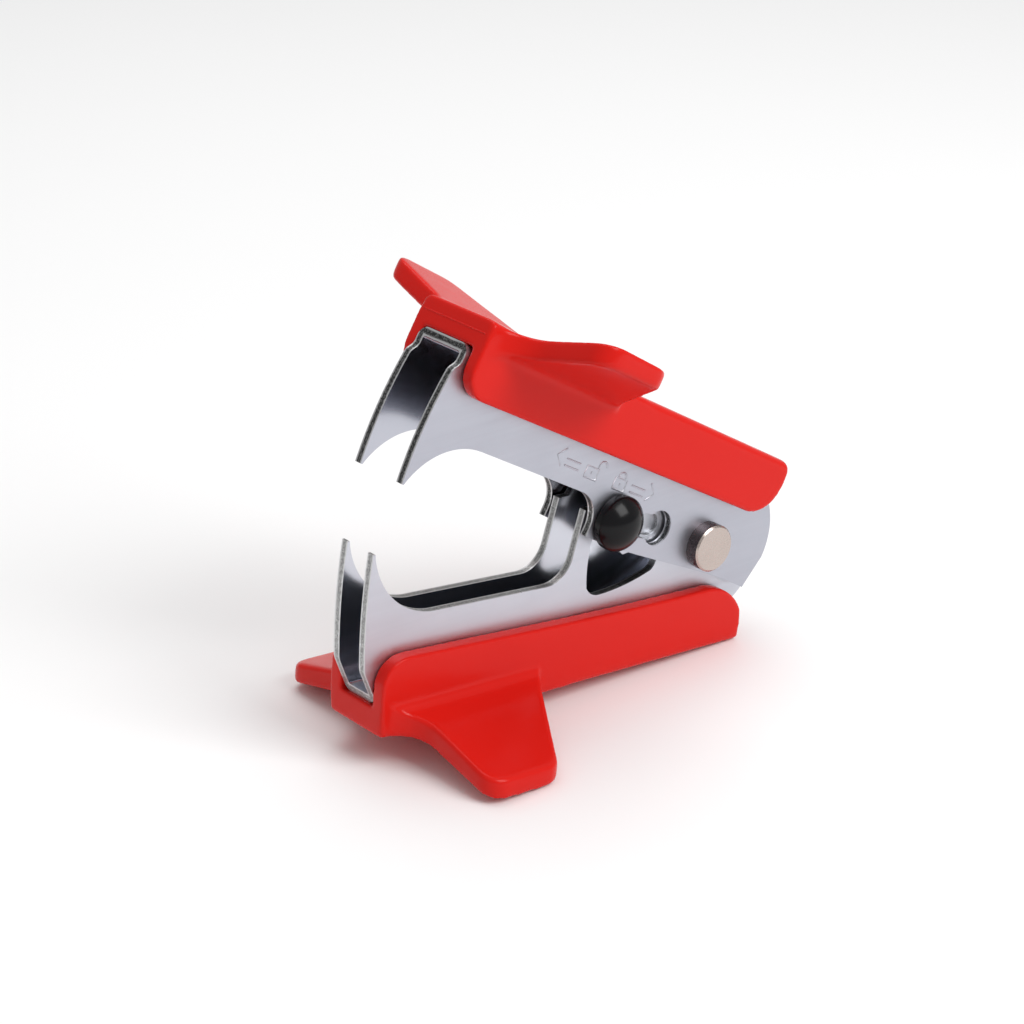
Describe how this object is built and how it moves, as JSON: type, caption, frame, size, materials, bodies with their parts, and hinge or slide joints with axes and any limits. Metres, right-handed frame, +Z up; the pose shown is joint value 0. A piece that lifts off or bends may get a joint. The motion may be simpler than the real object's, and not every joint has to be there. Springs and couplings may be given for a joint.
{
  "type": "staple remover",
  "caption": "Jaw-type staple remover: two nested sheet-steel claw jaws on a rivet, sprung open, with finger-winged plastic covers and a sliding lock.",
  "frame": {"origin": "on the ground under the middle of the remover's bounding box, which stands on its two lower wing tips and the rear edge of its lower cover", "axes": "+Z up, claws point to -X, +X towards the pivot, the lock knob is on the -Y side"},
  "size_m": [0.0618, 0.0372, 0.0503],
  "materials": {
    "jaw_steel": "nickel-plated sheet, satin, with sheared edges",
    "cover_plastic": "glossy bright red injection moulding",
    "rivet_nickel": "warm nickel plate, lightly worn",
    "hidden_steel": "plain turned steel",
    "spring_steel": "dark oiled spring wire",
    "knob_plastic": "glossy black"
  },
  "bodies": {
    "lower_jaw": {"lower_jaw": "jaw_steel", "lower_cover": "cover_plastic", "pivot_pin": "rivet_nickel", "pivot_collar": "rivet_nickel", "pivot_spacer": "hidden_steel", "return_spring": "spring_steel"},
    "upper_jaw": {"upper_jaw": "jaw_steel", "upper_cover": "cover_plastic"},
    "lock": {"lock_pin": "hidden_steel", "lock_knob": "knob_plastic"}
  },
  "joints": [
    {"name": "jaw_hinge", "type": "hinge", "parent": "lower_jaw", "child": "upper_jaw", "pos_m": [0.0189, 0, 0.01415], "axis": [0, -1, 0], "range_deg": [0, 26], "stiffness_Nm_per_rad": 0.35, "springref_deg": -20.05, "deforming": ["return_spring"]},
    {"name": "lock_slide", "type": "slide", "parent": "upper_jaw", "child": "lock", "axis": [0.9305, 0, -0.3663], "range_m": [0, 0.0074]}
  ]
}
